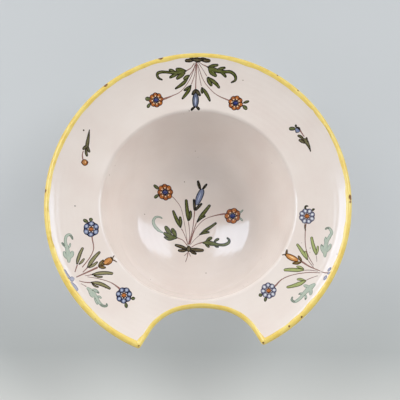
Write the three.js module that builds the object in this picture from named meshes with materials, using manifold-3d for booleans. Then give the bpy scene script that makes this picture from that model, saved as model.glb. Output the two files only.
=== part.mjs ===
// A tin-glazed earthenware barber's bowl: a deep thrown well, a broad dished flange with a neck notch,
// a rounded lip in yellow enamel that follows the rim and the notch, and a foot ring luted underneath.
// Millimetres, +Z up, standing on its foot, notch towards -Y. The origin is the bottom centre of its box.
import * as THREE from 'three';
import { mergeVertices } from 'three/addons/utils/BufferGeometryUtils.js';
import Module from 'manifold-3d';

const wasm = await Module();
wasm.setup();

// Driving dimensions: rim and flange
const rimRadius = 135;
const flangeRise = 7;
const flangeThickness = 5.4;
const shoulderRadius = 88;
const shoulderHeight = 77;
const shoulderRound = 3.5;
const underShoulderRound = 6;

// Well and floor
const wallSlope = THREE.MathUtils.degToRad(68);
const wallThickness = 6;
const baseHeight = 4;
const floorThickness = 6;
const floorRadius = 49;
const floorCurveRadius = 160;
const wallStartSlope = THREE.MathUtils.degToRad(24);

// Foot ring
const footHeight = 8;
const footOuterRadius = 53;
const footInnerRadius = 43.5;
const footTaper = 1.5;
const footEdgeRound = 1.2;

// Neck notch: a basket arch of one crown arc and two haunch arcs, with straight flared ends
const notchCentreX = 3.5;
const notchToShoulder = 4;
const notchCrownRadius = 80;
const notchHaunchRadius = 42;
const notchCrownHalfAngle = THREE.MathUtils.degToRad(12.8);
const notchFlare = THREE.MathUtils.degToRad(60);

// Enamelled lip
const lipWidth = 4.8;
const seamGap = 0.3;

// How far the fired bowl is out of true: stretched and pulled askew towards the rim, well leaning
const rimStretch = 0.0447;
const rimSkew = 0.012;
const leanX = -3.5;
const leanY = -5;

// Fineness of the facets
const turns = 80;

// Values that follow from the driving ones
const floorHeight = baseHeight + floorThickness;
const flangeRun = rimRadius - shoulderRadius;
const flangeSweep = 2 * Math.atan(flangeRise / flangeRun);
const flangeCurveRadius = flangeRun / Math.sin(flangeSweep);
const flangeCurveHeight = shoulderHeight + flangeCurveRadius;
const lipRound = flangeThickness / 2;
const middleCurveRadius = flangeCurveRadius + lipRound;
const lipStart = Math.asin((flangeRun - lipRound) / middleCurveRadius);
const formTop = shoulderHeight + flangeRise + flangeThickness;
const seamBottom = shoulderHeight - flangeThickness - lipRound;

/** Points of an arc in the section plane, from one angle to another, both ends included. */
function arc(centreR, centreZ, radius, fromAngle, toAngle, steps) {
  const points = [];
  for (let i = 0; i <= steps; i += 1) {
    const angle = fromAngle + ((toAngle - fromAngle) * i) / steps;
    points.push(new THREE.Vector2(centreR + radius * Math.cos(angle), centreZ + radius * Math.sin(angle)));
  }
  return points;
}

/** Drops points that repeat the one before, where two arcs share an end. */
function withoutRepeats(points) {
  return points.filter((point, i) => i === 0 || point.distanceTo(points[i - 1]) > 1e-4);
}

/** The height of the flange's middle surface at a radius. */
function flangeMiddleHeight(radius) {
  const across = THREE.MathUtils.clamp(radius, shoulderRadius, rimRadius) - shoulderRadius;
  return flangeCurveHeight - Math.sqrt(middleCurveRadius ** 2 - across ** 2);
}

/** The inside of the bowl, from the middle of the floor out to the start of the rounded lip. */
function upperSection() {
  const down = -Math.PI / 2;
  const floorSlope = Math.asin(floorRadius / floorCurveRadius);
  const floorEdgeHeight = floorHeight + floorCurveRadius * (1 - Math.cos(floorSlope));
  const wallTopRadius = shoulderRadius - shoulderRound * Math.sin(wallSlope);
  const wallTopHeight = shoulderHeight - shoulderRound * (1 - Math.cos(wallSlope));
  // The wall's lower curve is as wide as it takes to meet the straight wall above without a corner
  const rise = wallTopHeight - floorEdgeHeight;
  const run = wallTopRadius - floorRadius;
  const curveRun = Math.sin(wallSlope) - Math.sin(wallStartSlope);
  const curveRise = Math.cos(wallStartSlope) - Math.cos(wallSlope);
  const curve = (run * Math.tan(wallSlope) - rise) / (curveRun * Math.tan(wallSlope) - curveRise);
  const curveR = floorRadius - curve * Math.sin(wallStartSlope);
  const curveZ = floorEdgeHeight + curve * Math.cos(wallStartSlope);
  const points = [
    ...arc(0, floorHeight + floorCurveRadius, floorCurveRadius, down, down + floorSlope, 5),
    ...arc(curveR, curveZ, curve, down + wallStartSlope, down + wallSlope, 8),
    ...arc(shoulderRadius, shoulderHeight - shoulderRound, shoulderRound, -down + wallSlope, -down, 5),
    ...arc(shoulderRadius, flangeCurveHeight, flangeCurveRadius, down, down + lipStart, 6),
  ];
  return { points, curve, curveR, curveZ };
}

/** The rounded edge of the flange, from its upper to its lower face. */
function lipSection() {
  const angle = -Math.PI / 2 + lipStart;
  const centreR = shoulderRadius + middleCurveRadius * Math.cos(angle);
  const centreZ = flangeCurveHeight + middleCurveRadius * Math.sin(angle);
  return arc(centreR, centreZ, lipRound, angle + Math.PI, angle, 8);
}

/** The outside of the bowl, from under the lip in to the seat of the foot and the hollow base. */
function lowerSection(inside) {
  const down = -Math.PI / 2;
  const underCurve = flangeCurveRadius + flangeThickness;
  const roundGrowth = (underShoulderRound - shoulderRound) * (1 - Math.cos(wallSlope));
  const levelShare = wallThickness - flangeThickness * Math.cos(wallSlope) + roundGrowth;
  const overhang = levelShare / Math.sin(wallSlope);
  const start = Math.asin(overhang / underCurve);
  const roundR = shoulderRadius + (underCurve + underShoulderRound) * Math.sin(start);
  const roundZ = flangeCurveHeight - (underCurve + underShoulderRound) * Math.cos(start);
  const outerCurve = inside.curve + wallThickness;
  const footAngle = down + Math.asin((footOuterRadius - inside.curveR) / outerCurve);
  const baseCurve = floorCurveRadius + floorThickness;
  const baseAngle = down + Math.acos(1 - (footHeight - baseHeight) / baseCurve);
  return [
    ...arc(shoulderRadius, flangeCurveHeight, underCurve, down + lipStart, down + start, 5),
    ...arc(roundR, roundZ, underShoulderRound, -down + start, -down + wallSlope, 5),
    ...arc(inside.curveR, inside.curveZ, outerCurve, down + wallSlope, footAngle, 6),
    new THREE.Vector2(footOuterRadius, footHeight),
    ...arc(0, baseHeight + baseCurve, baseCurve, baseAngle, down, 3),
  ];
}

/** Moves a point of the true turned form to where it lies on the fired, slightly uneven bowl. */
function settle(x, y, z) {
  const spread = (x * x + y * y) / (rimRadius * rimRadius);
  const drop = Math.max(0, 1 - z / shoulderHeight);
  return [x + rimSkew * y * spread + leanX * drop, y * (1 + rimStretch * spread) + leanY * drop, z];
}

const shoulderY = settle(0, -shoulderRadius, shoulderHeight)[1];
const notchApexY = shoulderY - notchToShoulder;

/** The radius on the true turned form of a place on the flange of the fired bowl. */
function trueRadius(x, y) {
  let radius = Math.hypot(x, y);
  for (let i = 0; i < 6; i += 1) {
    const spread = (radius / rimRadius) ** 2;
    const straightY = y / (1 + rimStretch * spread);
    radius = Math.hypot(x - rimSkew * straightY * spread, straightY);
  }
  return radius;
}

/** Revolves a section about the Z axis, then moves every point to its place on the fired bowl. */
function turned(section) {
  const geometry = new THREE.LatheGeometry(section, turns);
  geometry.rotateX(Math.PI / 2);
  const position = geometry.getAttribute('position');
  for (let i = 0; i < position.count; i += 1) {
    position.setXYZ(i, ...settle(position.getX(i), position.getY(i), position.getZ(i)));
  }
  return geometry;
}

/** A closed geometry as a solid for joining and cutting. */
function solid(geometry) {
  const bare = geometry.clone();
  bare.deleteAttribute('normal');
  bare.deleteAttribute('uv');
  const merged = mergeVertices(bare, 1e-5);
  const index = Uint32Array.from(merged.getIndex().array);
  const corners = [0, 1, 2];
  const kept = [];
  for (let i = 0; i < index.length; i += 3) {
    const [a, b, c] = corners.map((k) => index[i + k]);
    if (a !== b && b !== c && c !== a) {
      kept.push(a, b, c);
    }
  }
  const vertProperties = Float32Array.from(merged.getAttribute('position').array);
  const made = (triVerts) => new wasm.Manifold(new wasm.Mesh({ numProp: 3, vertProperties, triVerts }));
  const body = made(Uint32Array.from(kept));
  return body.volume() > 0 ? body : made(Uint32Array.from(kept.reverse()));
}

/** A solid back as a geometry. */
function geometryOf(body) {
  const mesh = body.getMesh();
  const geometry = new THREE.BufferGeometry();
  geometry.setAttribute('position', new THREE.Float32BufferAttribute(mesh.vertProperties, 3));
  geometry.setIndex(Array.from(mesh.triVerts));
  geometry.computeVertexNormals();
  return geometry;
}

/** Stations along the edge of the notch from left to right, each with the direction into the clay. */
function notchEdge(offset, arcSteps, flareLength) {
  const crown = notchCrownRadius + offset;
  const haunch = notchHaunchRadius + offset;
  const crownZ = notchApexY - notchCrownRadius;
  const shift = notchCrownRadius - notchHaunchRadius;
  const haunchX = shift * Math.sin(notchCrownHalfAngle);
  const haunchY = crownZ + shift * Math.cos(notchCrownHalfAngle);
  const right = [];
  const add = (centreX, centreY, radius, angle) => {
    const inward = new THREE.Vector2(Math.sin(angle), Math.cos(angle));
    right.push({ x: centreX + radius * inward.x, y: centreY + radius * inward.y, inward });
  };
  for (let i = 0; i < arcSteps; i += 1) {
    add(0, crownZ, crown, (notchCrownHalfAngle * i) / arcSteps);
  }
  for (let i = 0; i <= 2 * arcSteps; i += 1) {
    const angle = notchCrownHalfAngle + ((notchFlare - notchCrownHalfAngle) * i) / (2 * arcSteps);
    add(haunchX, haunchY, haunch, angle);
  }
  const last = right[right.length - 1];
  right.push({
    x: last.x + flareLength * Math.cos(notchFlare),
    y: last.y - flareLength * Math.sin(notchFlare),
    inward: last.inward,
  });
  const left = right.slice(1).reverse().map((station) => ({
    x: -station.x,
    y: station.y,
    inward: new THREE.Vector2(-station.inward.x, station.inward.y),
  }));
  return [...left, ...right].map((station) => ({ ...station, x: station.x + notchCentreX }));
}

/** The notch as an upright block, its edge moved into the clay by an offset. */
function notchBlock(offset, bottom) {
  const flareLength = rimRadius / 2;
  const outline = notchEdge(offset, 6, flareLength).map((station) => new THREE.Vector2(station.x, station.y));
  const geometry = new THREE.ExtrudeGeometry(new THREE.Shape(outline), {
    depth: formTop - bottom + flangeThickness,
    bevelEnabled: false,
  });
  geometry.translate(0, 0, bottom);
  return solid(geometry);
}

/** A strip along the notch whose nose is rounded about the flange's middle surface. */
function notchLipStrip(bottom) {
  const stations = notchEdge(0, 6, rimRadius / 3);
  const noseSteps = 8;
  const positions = [];
  stations.forEach(({ x, y, inward }) => {
    const middle = flangeMiddleHeight(trueRadius(x, y));
    const ring = [];
    for (let i = 0; i <= noseSteps; i += 1) {
      const angle = (Math.PI * i) / noseSteps;
      ring.push([lipRound * (1 - Math.sin(angle)), middle + lipRound * Math.cos(angle)]);
    }
    ring.push([lipRound, bottom], [lipWidth, bottom], [lipWidth, formTop], [lipRound, formTop]);
    ring.forEach(([depth, z]) => positions.push(x + depth * inward.x, y + depth * inward.y, z));
  });
  const around = positions.length / 3 / stations.length;
  const index = [];
  for (let s = 0; s + 1 < stations.length; s += 1) {
    for (let k = 0; k < around; k += 1) {
      const a = s * around + k;
      const b = s * around + ((k + 1) % around);
      index.push(a, b, b + around, a, b + around, a + around);
    }
  }
  // Each end is closed by a flat face of the section's own shape
  const start = stations[0];
  const end = [];
  for (let k = 0; k < around; k += 1) {
    const [x, y, z] = positions.slice(3 * k, 3 * k + 3);
    const depth = (x - start.x) * start.inward.x + (y - start.y) * start.inward.y;
    end.push(new THREE.Vector2(depth, z));
  }
  const last = (stations.length - 1) * around;
  THREE.ShapeUtils.triangulateShape(end, []).forEach(([a, b, c]) => {
    index.push(a, c, b);
    index.push(last + a, last + b, last + c);
  });
  const geometry = new THREE.BufferGeometry();
  geometry.setAttribute('position', new THREE.Float32BufferAttribute(positions, 3));
  geometry.setIndex(index);
  return solid(geometry);
}

/** Balls that round off the two horns, where the edge of the rim turns into the edge of the notch. */
function hornBalls() {
  const noseRadius = rimRadius - lipRound;
  const along = new THREE.Vector2(Math.cos(notchFlare), -Math.sin(notchFlare));
  return [-1, 1].map((side) => {
    const stations = notchEdge(lipRound, 6, 0);
    const from = side < 0 ? stations[0] : stations[stations.length - 1];
    let [near, far] = [0, rimRadius];
    for (let i = 0; i < 40; i += 1) {
      const middle = (near + far) / 2;
      const out = trueRadius(from.x + side * middle * along.x, from.y + middle * along.y) > noseRadius;
      [near, far] = out ? [near, middle] : [middle, far];
    }
    const ball = new THREE.SphereGeometry(lipRound, 24, 16);
    ball.rotateX(Math.PI / 2);
    ball.translate(from.x + side * near * along.x, from.y + near * along.y, flangeMiddleHeight(noseRadius));
    return solid(ball);
  });
}

/** An upright disc that holds everything nearer the axis than a radius. */
function disc(radius) {
  return solid(turned([
    new THREE.Vector2(0, -footHeight),
    new THREE.Vector2(radius, -footHeight),
    new THREE.Vector2(radius, formTop),
    new THREE.Vector2(0, formTop),
  ]));
}

/** The whole thrown form, before the notch is cut and the lip is divided off. */
function thrownForm() {
  const inside = upperSection();
  return solid(turned(withoutRepeats([...inside.points, ...lipSection(), ...lowerSection(inside)])));
}

const thrown = thrownForm();

/** The dish: well, wall and flange in one thrown piece, up to the seam with the lip. */
function makeDish() {
  return thrown.intersect(disc(rimRadius - lipWidth - seamGap))
    .subtract(notchBlock(lipWidth + seamGap, seamBottom));
}

/** The lip: the rounded edge round the rim, meeting the rounded edge of the notch in two horns. */
function makeLip() {
  const rim = thrown.subtract(disc(rimRadius - lipWidth)).subtract(notchBlock(lipRound, 0));
  const notch = thrown.intersect(notchLipStrip(seamBottom + seamGap)).intersect(disc(rimRadius - lipRound));
  return hornBalls().reduce((lip, ball) => lip.add(ball), rim.add(notch));
}

/** The foot ring: tapered a little on both sides, with a flat standing face and eased edges. */
function makeFootRing() {
  const down = -Math.PI / 2;
  const outer = footOuterRadius - footTaper - footEdgeRound;
  const inner = footInnerRadius + footTaper + footEdgeRound;
  return solid(turned([
    new THREE.Vector2(footInnerRadius, footHeight),
    ...arc(inner, footEdgeRound, footEdgeRound, Math.PI, Math.PI * 1.5, 3),
    ...arc(outer, footEdgeRound, footEdgeRound, down, 0, 3),
    new THREE.Vector2(footOuterRadius, footHeight),
    new THREE.Vector2(footInnerRadius, footHeight),
  ]));
}

/** A named mesh of one piece in its own finish. */
function piece(name, body, color, roughness) {
  const material = new THREE.MeshStandardMaterial({ color, roughness, metalness: 0 });
  const mesh = new THREE.Mesh(geometryOf(body), material);
  mesh.name = name;
  return mesh;
}

const bowl = new THREE.Group();
bowl.add(piece('dish', makeDish(), 0xe3d8d2, 0.12));
bowl.add(piece('lip_band', makeLip(), 0xebd270, 0.18));
bowl.add(piece('foot_ring', makeFootRing(), 0xd9c9b6, 0.35));

// The notch leaves the box uneven about the rim's centre, so the bowl is moved to the box's middle
const middle = new THREE.Box3().setFromObject(bowl).getCenter(new THREE.Vector3());
bowl.position.set(-middle.x, -middle.y, 0);

export default bowl;
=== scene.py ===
import bmesh
import bpy
import numpy as np
from mathutils import Matrix, Vector


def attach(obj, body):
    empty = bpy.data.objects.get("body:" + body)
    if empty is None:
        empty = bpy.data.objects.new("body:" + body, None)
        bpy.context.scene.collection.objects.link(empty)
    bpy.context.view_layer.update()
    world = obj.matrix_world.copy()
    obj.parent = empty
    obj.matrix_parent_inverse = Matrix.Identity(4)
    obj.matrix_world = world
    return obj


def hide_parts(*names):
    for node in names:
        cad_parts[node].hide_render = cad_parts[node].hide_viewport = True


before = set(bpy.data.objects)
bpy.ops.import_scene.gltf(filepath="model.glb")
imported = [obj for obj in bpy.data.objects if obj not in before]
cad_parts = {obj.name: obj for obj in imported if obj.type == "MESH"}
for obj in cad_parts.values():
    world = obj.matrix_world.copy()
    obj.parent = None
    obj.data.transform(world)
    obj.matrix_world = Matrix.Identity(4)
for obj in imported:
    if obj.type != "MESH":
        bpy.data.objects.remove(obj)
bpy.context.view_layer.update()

# The camera looks down into the bowl, 17 degrees off its axis towards the notch, with +Y upright
# in the picture, from 1.4 m. Its long lens is 1595 pixels for a picture 400 pixels wide.
DISTANCE = 1.4
LENS_PIXELS = 1595
PICTURE_PIXELS = 400
SENSOR = 36.0
toward_camera = Vector((-0.020, -0.2924, 0.9561)).normalized()
aim = Vector((0.00156, -0.00353, 0.0815))
upright = (Vector((0, 1, 0)) - toward_camera.y * toward_camera).normalized()
sideways = upright.cross(toward_camera)
camera = bpy.data.objects.new("camera", bpy.data.cameras.new("camera"))
camera.data.sensor_width = SENSOR
camera.data.lens = SENSOR * LENS_PIXELS / PICTURE_PIXELS
camera.data.clip_start = 0.05
turn = Matrix((sideways, upright, toward_camera)).transposed()
camera.matrix_world = Matrix.Translation(aim + DISTANCE * toward_camera) @ turn.to_4x4()
bpy.context.scene.collection.objects.link(camera)
bpy.context.scene.camera = camera

# The dish is buff earthenware, thrown and turned in one piece: floor, steep wall, sharp shoulder and
# a broad dished flange. It is dipped all over in an opaque white tin glaze that fires faintly pink,
# 0.4 mm thick, and it is glossy, with soft throwing rings and a few pinholes.

# Sizes are in mm from the turned axis and the table. FLOOR is its edge, the height of its middle and the
# radius it is dished to. NOTCH_TOP is the notch's crown in plan. At ABOVE_WALL nothing leans.
RIM = 135.0
SHOULDER = (88.0, 77.0)
SHOULDER_ROUND = 3.5
FLANGE_CURVE = 161.286
FLANGE_CENTRE = (SHOULDER[0], SHOULDER[1] + FLANGE_CURVE)
FLANGE_RUN = 49.0
FLANGE_THICK = 5.4
FLOOR = (49.0, 10.0, 160.0)
WALL_SLOPE = np.radians([24.0, 68.0])
WALL_THICK = 6.0
UNDER_ROUND = 6.0
FOOT_SEAT = (53.0, 8.0)
NOSE = FLANGE_THICK / 2
RIM_CENTRE_Y = -5.305
STRETCH = 0.0447
SKEW = 0.012
LEAN = (3.5, 5.0)
NOTCH_TOP = (3.5, -93.671)
ABOVE_WALL = 80.0
TIN_WHITE = ["#E9DFD9", "#E6DAD4", "#ECE3DE"]


def arc(centre, radius, start, end, steps):
    """(r, z) of an arc: centre + radius (sin a, -cos a), with a the slope from start to end."""
    a = np.linspace(start, end, steps)
    return np.stack([centre[0] + radius * np.sin(a), centre[1] - radius * np.cos(a)], -1)


def wall_curve():
    """(centre, radius) of the arc from the floor's edge into the straight wall.
    radius = (run tan s - rise) / ((sin s - sin f) tan s - (cos f - cos s)), f and s the two slopes."""
    foot, top = WALL_SLOPE
    edge_z = FLOOR[1] + FLOOR[2] * (1 - np.cos(np.arcsin(FLOOR[0] / FLOOR[2])))
    run = SHOULDER[0] - SHOULDER_ROUND * np.sin(top) - FLOOR[0]
    rise = SHOULDER[1] - SHOULDER_ROUND * (1 - np.cos(top)) - edge_z
    across = (np.sin(top) - np.sin(foot)) * np.tan(top) - (np.cos(foot) - np.cos(top))
    radius = (run * np.tan(top) - rise) / across
    return (FLOOR[0] - radius * np.sin(foot), edge_z + radius * np.cos(foot)), radius


def inside_section(fine):
    """(r, z) from the middle of the floor to the rim: floor arc, wall curve, straight wall,
    shoulder round and flange arc."""
    centre, radius = wall_curve()
    return np.concatenate([
        arc((0, FLOOR[1] + FLOOR[2]), FLOOR[2], 0, np.arcsin(FLOOR[0] / FLOOR[2]), 4 * fine),
        arc(centre, radius, *WALL_SLOPE, 4 * fine),
        arc((SHOULDER[0], SHOULDER[1] - SHOULDER_ROUND), -SHOULDER_ROUND, WALL_SLOPE[1], 0, 3 * fine),
        arc(FLANGE_CENTRE, FLANGE_CURVE, 0, np.arcsin(FLANGE_RUN / FLANGE_CURVE), 4 * fine),
    ])


def under_round():
    """(centre, end slope) of the round under the shoulder. It lies below the flange's lower face, of
    radius u, and ends there at slope t, sin t = level / (u sin s), with s the wall's slope and
    level = wall - flange cos s + (under round - shoulder round) (1 - cos s)."""
    top = WALL_SLOPE[1]
    under = FLANGE_CURVE + FLANGE_THICK
    level = WALL_THICK - FLANGE_THICK * np.cos(top) + (UNDER_ROUND - SHOULDER_ROUND) * (1 - np.cos(top))
    end = np.arcsin(level / np.sin(top) / under)
    return arc(FLANGE_CENTRE, under + UNDER_ROUND, end, end, 1)[0], end


def outside_section(fine):
    """(r, z) from the seat of the foot up the outer wall, round the under shoulder and out below
    the flange, each arc about the centre of the inside's own arc."""
    centre, radius = wall_curve()
    top = WALL_SLOPE[1]
    outer = radius + WALL_THICK
    under = FLANGE_CURVE + FLANGE_THICK
    turn_in, end = under_round()
    return np.concatenate([
        arc(centre, outer, np.arcsin((FOOT_SEAT[0] - centre[0]) / outer), top, 4 * fine),
        arc(turn_in, -UNDER_ROUND, top, end, 3 * fine),
        arc(FLANGE_CENTRE, under, end, np.arcsin(FLANGE_RUN / under), 4 * fine),
    ])


INSIDE = inside_section(60)
OUTSIDE = outside_section(60)


def settled(x, y, z):
    """Moves points of the true turned form, in mm, to the fired bowl: stretched 4.5 % along Y and a
    little askew towards the rim, the well leaning by (-3.5, -5) mm at the table."""
    spread = (x * x + y * y) / RIM ** 2
    drop = np.maximum(0, 1 - z / SHOULDER[1])
    return np.stack([
        x + SKEW * y * spread - LEAN[0] * drop,
        y * (1 + STRETCH * spread) - LEAN[1] * drop + RIM_CENTRE_Y,
        z + 0 * x,
    ], -1)


def true_plan(x, y):
    """The true turned plan place of a settled place on the flange, by repeated substitution."""
    y = y - RIM_CENTRE_Y
    radius = np.hypot(x, y)
    for _ in range(8):
        spread = (radius / RIM) ** 2
        plain_y = y / (1 + STRETCH * spread)
        plain_x = x - SKEW * plain_y * spread
        radius = np.hypot(plain_x, plain_y)
    return plain_x, plain_y, radius


def on_inside(x, y, lift=0.0):
    """Points on the glaze above true plan places, lifted along the turned form's normal, in mm."""
    radius = np.hypot(x, y)
    z = np.interp(radius, *INSIDE.T)
    slope = (np.interp(radius + 0.1, *INSIDE.T) - np.interp(radius - 0.1, *INSIDE.T)) / 0.2
    upright_part = 1 / np.sqrt(1 + slope ** 2)
    inward = -slope * upright_part / np.maximum(radius, 1e-6)
    return settled(x + lift * inward * x, y + lift * inward * y, z + lift * upright_part)


def edge_line(inset):
    """The closed line round rim, horns and notch, inset mm inside the middle of the rounded edge.
    Its stretches are arcs and straights moved sideways by inset; past the edge the horns are arcs."""
    crown, haunch, half, flare = 80.0, 42.0, np.radians(12.8), np.radians(60)
    middle = np.array([NOTCH_TOP[0], NOTCH_TOP[1] - crown + RIM_CENTRE_Y])
    off = NOSE + inset
    out = RIM - NOSE - inset
    keep = max(inset, 0.0)
    a = np.linspace(0, half, 9)
    b = np.linspace(half, flare, 26)[1:]
    bend = (crown - haunch) * np.array([np.sin(half), np.cos(half)])
    side = np.concatenate([
        (crown + off) * np.stack([np.sin(a), np.cos(a)], -1),
        bend + (haunch + off) * np.stack([np.sin(b), np.cos(b)], -1),
    ])
    start = bend + (haunch + (NOSE + keep)) * np.array([np.sin(flare), np.cos(flare)])
    along = np.array([np.cos(flare), -np.sin(flare)])
    run = np.linspace(0, 60, 601)
    lines, fans, angles = [], [], []
    for sign in (1, -1):
        flip = np.array([sign, 1])
        path = middle + flip * (start + run[:, None] * along)
        length = np.interp(RIM - NOSE - keep, true_plan(*path.T)[2], run)
        tip = middle + flip * (start + length * along)
        straight = side[-1] + np.linspace(0, length, 15)[1:, None] * along
        line = middle + flip * np.concatenate([side, straight])
        px, py, _ = true_plan(*tip)
        angle = np.arctan2(py, px)
        fan = np.repeat(tip[None], 10, 0)
        if inset < 0:
            first = line[-1] - tip
            last = settled(out * np.cos(angle), out * np.sin(angle), np.array(ABOVE_WALL))[:2] - tip
            a0 = np.arctan2(*first[::-1])
            a1 = np.arctan2(*last[::-1])
            a1 = a0 + (a1 - a0 + np.pi) % (2 * np.pi) - np.pi
            a = np.linspace(a0, a1, 12)[1:-1]
            reach = np.linspace(np.linalg.norm(first), np.linalg.norm(last), 12)[1:-1]
            fan = tip + reach[:, None] * np.stack([np.cos(a), np.sin(a)], -1)
        lines.append(line)
        fans.append(fan)
        angles.append(angle)
    sweep = np.linspace(angles[0], angles[1] + 2 * np.pi, 380)
    rim = settled(out * np.cos(sweep), out * np.sin(sweep), np.full_like(sweep, ABOVE_WALL))[:, :2]
    return np.concatenate([lines[0], fans[0], rim, fans[1][::-1], lines[1][:0:-1]])


def middle_height(radius):
    """Height of the flange's middle surface: an arc about the same centre as its two faces."""
    across = np.clip(radius, SHOULDER[0], RIM) - SHOULDER[0]
    return FLANGE_CENTRE[1] - np.sqrt((FLANGE_CURVE + NOSE) ** 2 - across ** 2)


EDGE = edge_line(0.0)
OUTWARD = edge_line(-NOSE) - EDGE
OUTWARD /= np.linalg.norm(OUTWARD, axis=1)[:, None]
EDGE_HEIGHT = middle_height(true_plan(*EDGE.T)[2])
TILT_RUN = 0.5
EDGE_RISE = middle_height(true_plan(*(EDGE + TILT_RUN * OUTWARD).T)[2]) - EDGE_HEIGHT
EDGE_TILT = np.arctan(EDGE_RISE / TILT_RUN)


def nose(radius, angle):
    """One line along the rounded edge: middle + radius (cos a, sin a) in the plane across it, tilted
    with the flange. Angle 90 is the top, 0 the outermost line, -90 the underside."""
    a = np.radians(angle) + EDGE_TILT
    plan = EDGE + (radius * np.cos(a))[:, None] * OUTWARD
    return np.column_stack([plan, EDGE_HEIGHT + radius * np.sin(a)])


def face_line(inset, section, lift=0.0):
    """The line inset mm inside the edge on the upper or lower face, lifted straight up by lift."""
    plan = edge_line(inset)
    return np.column_stack([plan, np.interp(true_plan(*plan.T)[2], *section.T) + lift])


def net(m, n, ring=False):
    """Quads between m closed lines of n points each: every line is joined to the next and to its own
    start, and with ring the last line to the first."""
    line = np.arange(m if ring else m - 1)[:, None] * n
    after = (line + n) % (m * n)
    j = np.arange(n)[None]
    turned = (j + 1) % n
    return np.stack([line + j, line + turned, after + turned, after + j], -1).reshape(-1, 4)


def lofted(name, lines, ring=False, marks=None):
    """A closed piece from lines of points in mm, (m, n, 3), netted in turn. The end lines shrink to a
    point, or with ring they meet."""
    return from_arrays(name, lines.reshape(-1, 3), net(*lines.shape[:2], ring), marks or {})


def from_arrays(name, points, quads, marks):
    """A mesh object from points in mm and quads. Doubles are merged, so poles and seams close, and
    faces then turned outwards. Marks are values or vectors kept on the points for the material."""
    mesh = bpy.data.meshes.new(name)
    mesh.from_pydata((points / 1000).tolist(), [], quads.tolist())
    for mark, values in marks.items():
        kind = "FLOAT_VECTOR" if values.ndim == 2 else "FLOAT"
        layer = mesh.attributes.new(mark, kind, "POINT")
        layer.data.foreach_set("vector" if values.ndim == 2 else "value", values.astype(np.float32).ravel())
    form = bmesh.new()
    form.from_mesh(mesh)
    bmesh.ops.remove_doubles(form, verts=form.verts, dist=2e-6)
    bmesh.ops.recalc_face_normals(form, faces=form.faces)
    form.to_mesh(mesh)
    form.free()
    mesh.shade_smooth()
    made = bpy.data.objects.new(name, mesh)
    bpy.context.scene.collection.objects.link(made)
    return made


def dish_lines():
    """Lines from the middle of the floor out to the edge, round it, and back below to the middle of
    the base. Each line keeps the directions of the edge's points, so wall and notch share stations."""
    x, y, edge = true_plan(*edge_line(2.0).T)
    cos, sin = x / edge, y / edge

    def line(radius, z):
        return settled(radius * cos, radius * sin, z)

    def stretch(section, knots, shares):
        spans = [a + np.outer(share, b - a) for a, b, share in zip(knots, knots[1:], shares)]
        return [line(radius, np.interp(radius, *section.T)) for radius in np.concatenate(spans)]

    def even(count):
        return np.linspace(0, 1, count, endpoint=False)

    # Circles out to the last one, then lines that gather towards the edge, closer by the notch
    last = 72.0
    reach = edge - last
    ring = np.full_like(edge, last)
    top = WALL_SLOPE[1]
    floor_and_wall = inside_section(7)
    lines = [line(r, z) for r, z in floor_and_wall[floor_and_wall[:, 0] < last]]
    wall_end = SHOULDER[0] - SHOULDER_ROUND * np.sin(top)
    knots = [ring, np.minimum(wall_end, last + 0.8 * reach),
             np.minimum(SHOULDER[0], last + 0.95 * reach), edge]
    round_share = 1 - np.sin(np.linspace(top, 0, 16)) / np.sin(top)
    lines += stretch(INSIDE, knots, [even(7), round_share[:-1], np.linspace(0, 1, 34)])
    lines += [face_line(1.3, INSIDE)]
    lines += [nose(NOSE - 0.2, angle) for angle in np.linspace(90, -90, 9)]
    lines += [face_line(1.3, OUTSIDE)]
    turn_in, end = under_round()
    flange_end, wall_top = turn_in[0] - UNDER_ROUND * np.sin([end, top])
    knots = [edge, np.minimum(flange_end, last + 0.97 * reach),
             np.minimum(wall_top, last + 0.93 * reach), ring]
    lines += stretch(OUTSIDE, knots, [even(14), even(10), even(6)])
    wall = outside_section(6)
    lines += [line(r, z) for r, z in wall[wall[:, 0] < last][::-1]]
    # Down to the seat of the foot ring, in across it, and over the base, parallel to the floor
    seat_r, seat_z = FOOT_SEAT
    side = [(seat_r, seat_z + 4.0), (seat_r, seat_z + 0.3)]
    seat = [(r, seat_z) for r in (seat_r - 0.3, 48.0, 43.5, 39.0)]
    centre_z, base_curve = FLOOR[1] + FLOOR[2], FLOOR[2] + WALL_THICK
    base = arc((0, centre_z), base_curve, np.arccos((centre_z - seat_z) / base_curve), 0, 12)
    lines += [line(r, z) for r, z in side + seat + base.tolist()]
    return np.stack(lines)


def linear(hexes):
    """An sRGB hex colour as linear RGBA: ((c + 0.055) / 1.055) ** 2.4, or c / 12.92 near black."""
    c = np.array([int(hexes[i:i + 2], 16) / 255 for i in (1, 3, 5)])
    c = np.where(c <= 0.04045, c / 12.92, ((c + 0.055) / 1.055) ** 2.4)
    return (*c.tolist(), 1.0)


def feed(tree, made, links):
    """Feeds the inputs of a node, each from a socket or from a node's first output."""
    for key, source in links.items():
        tree.links.new(source.outputs[0] if hasattr(source, "outputs") else source, made.inputs[key])


def node(tree, kind, links=None, stops=(), **settings):
    """Adds a node. Settings are its properties, or the values of its inputs when given as in_Name or
    in_3. Links names what feeds its inputs. Stops are the (place, colour or grey) points of a ramp."""
    made = tree.nodes.new("ShaderNode" + kind)
    for key, value in settings.items():
        if key.startswith("in_"):
            key = key[3:].replace("_", " ")
            made.inputs[int(key) if key.isdigit() else key].default_value = value
        else:
            setattr(made, key, value)
    feed(tree, made, links or {})
    for i, (place, colour) in enumerate(stops):
        band = made.color_ramp.elements
        point = band[i] if i < len(band) else band.new(place)
        point.position = place
        point.color = linear(colour) if isinstance(colour, str) else (colour, colour, colour, 1)
    return made


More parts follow.
